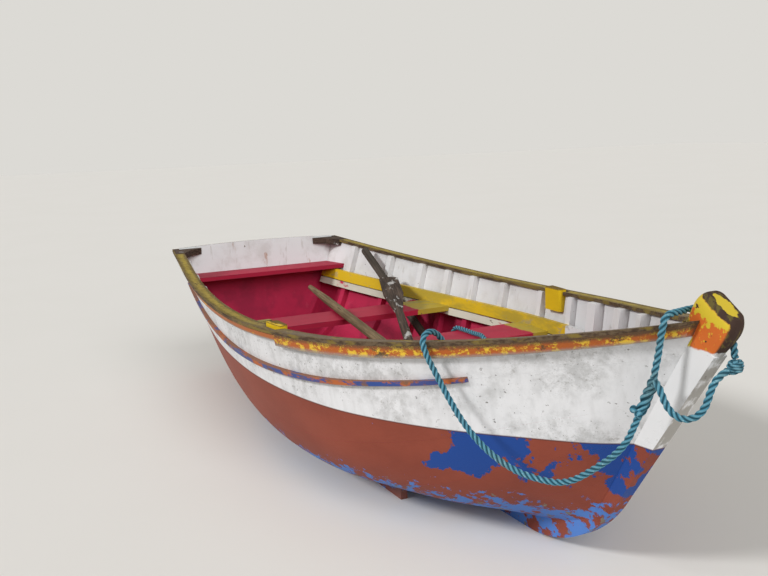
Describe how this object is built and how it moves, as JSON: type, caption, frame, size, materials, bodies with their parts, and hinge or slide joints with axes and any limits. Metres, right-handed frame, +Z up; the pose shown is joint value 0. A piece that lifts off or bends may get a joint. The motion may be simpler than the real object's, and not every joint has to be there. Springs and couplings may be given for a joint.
{
  "type": "rowing boat",
  "caption": "Open wooden rowing boat with a planked hull, raked stem, flat transom, ribs, thwarts, oars inboard and a rope on its stem.",
  "frame": {"origin": "centre of the boat's bounding box in plan, at the underside of the keel", "axes": "+X from the transom to the bow, +Y to port, +Z up"},
  "size_m": [3.8166, 1.4752, 0.9652],
  "materials": {
    "bare_wood": "bare greyed wood",
    "blue_paint": "worn blue paint",
    "crimson_paint": "crimson paint, satin",
    "inside_red_paint": "worn red paint",
    "inside_white_paint": "white paint, satin",
    "orange_paint": "worn orange paint",
    "red_paint": "worn brown-red bottom paint",
    "teal_rope": "laid synthetic rope",
    "weathered_wood": "dark weathered wood",
    "white_paint": "weathered white paint",
    "yellow_paint": "worn yellow paint"
  },
  "bodies": {
    "root": {"bilge_runner_port": "red_paint", "bilge_runner_starboard": "red_paint", "bilge_strake_port": "white_paint", "bilge_strake_starboard": "white_paint", "bottom_strake_port": "red_paint", "bottom_strake_starboard": "red_paint", "bow_frames": "inside_white_paint", "breasthook": "yellow_paint", "cap_rail_port": "yellow_paint", "cap_rail_starboard": "yellow_paint", "clamp_port": "yellow_paint", "clamp_starboard": "yellow_paint", "floor_boards": "inside_red_paint", "forward_thwart": "crimson_paint", "frames": "inside_white_paint", "garboard_strake_port": "red_paint", "garboard_strake_starboard": "red_paint", "keel": "red_paint", "mid_thwart": "crimson_paint", "oar_dark": "weathered_wood", "oar_light": "bare_wood", "painter": "teal_rope", "painter_eye": "teal_rope", "painter_knot": "teal_rope", "painter_splice": "teal_rope", "pole": "weathered_wood", "quarter_knee_port": "weathered_wood", "quarter_knee_starboard": "weathered_wood", "riser_port": "inside_white_paint", "riser_starboard": "inside_white_paint", "rub_rail_port": "blue_paint", "rub_rail_starboard": "blue_paint", "rub_strake_aft_port": "orange_paint", "rub_strake_aft_starboard": "orange_paint", "rub_strake_fwd_port": "orange_paint", "rub_strake_fwd_starboard": "orange_paint", "sheer_strake_port": "white_paint", "sheer_strake_starboard": "white_paint", "stem_post": "yellow_paint", "stern_seat": "crimson_paint", "thole_block_port": "yellow_paint", "thole_block_starboard": "yellow_paint", "topside_strake_port": "white_paint", "topside_strake_starboard": "white_paint", "transom": "white_paint"}
  },
  "joints": []
}
